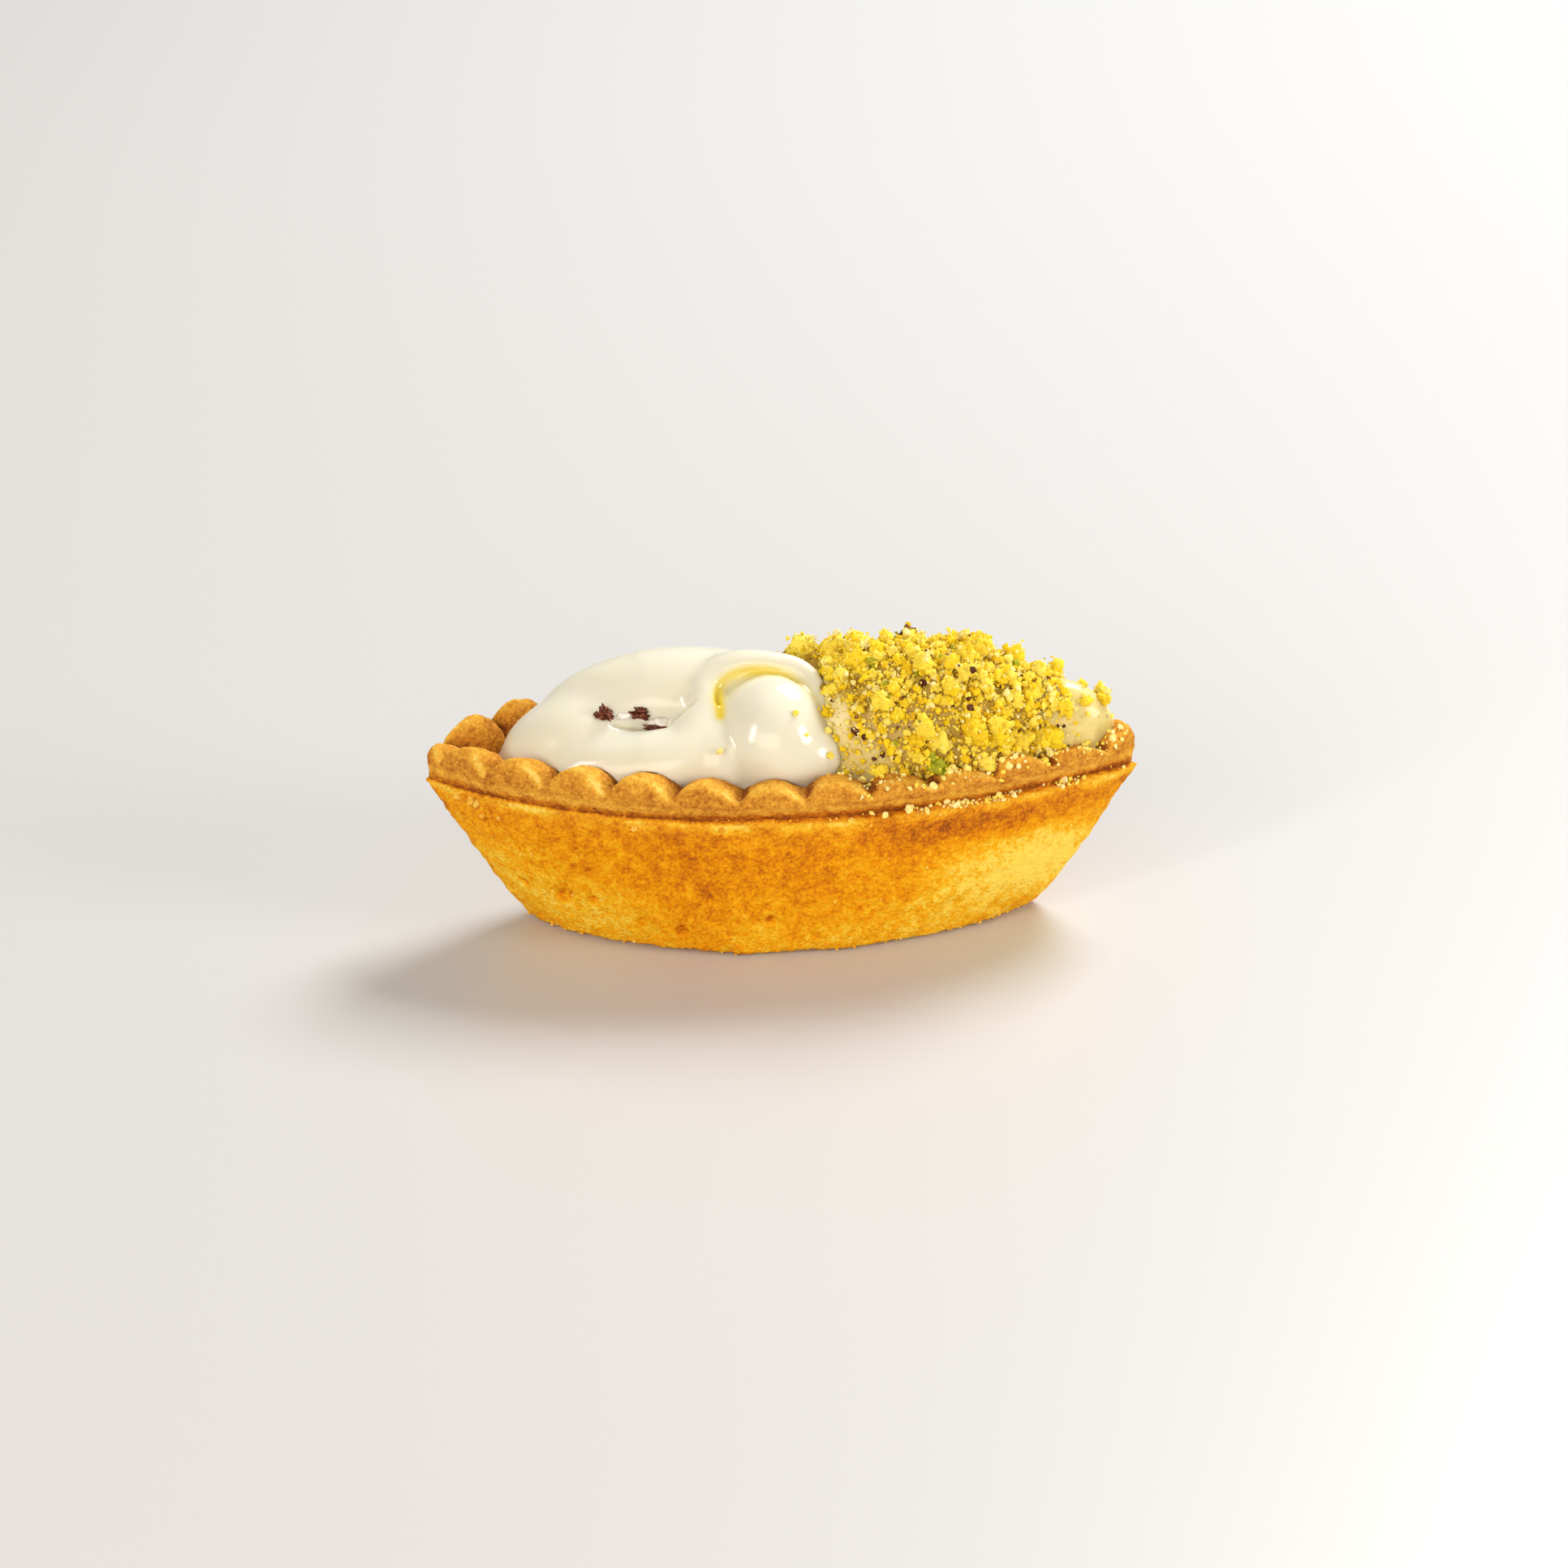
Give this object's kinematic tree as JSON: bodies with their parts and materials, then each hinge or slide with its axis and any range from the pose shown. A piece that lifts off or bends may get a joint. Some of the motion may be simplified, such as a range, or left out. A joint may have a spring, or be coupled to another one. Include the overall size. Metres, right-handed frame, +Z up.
{
  "type": "boat-shaped shortcrust tartlet",
  "caption": "Boat-shaped shortcrust tartlet with a crimped rim, half filled with swirled white cream and half with pistachio cream under chopped nuts.",
  "frame": {"origin": "middle of the flat base, under the middle of the shell's length and width", "axes": "+X along the boat to the pistachio end, +Y across it to the back, +Z up"},
  "size_m": [0.0936, 0.0324, 0.0398],
  "materials": {
    "shortcrust": "baked shortcrust, matt and finely grained, browner along the rim",
    "white_cream": "smooth glossy piped cream",
    "pistachio_cream": "smooth beige-green cream with a soft gloss",
    "chopped_pistachio": "matt rough crumbs",
    "dark_chocolate": "broken flakes with a soft gloss"
  },
  "bodies": {
    "root": {"shell": "shortcrust", "white_cream": "white_cream", "pistachio_cream": "pistachio_cream"}
  },
  "joints": []
}
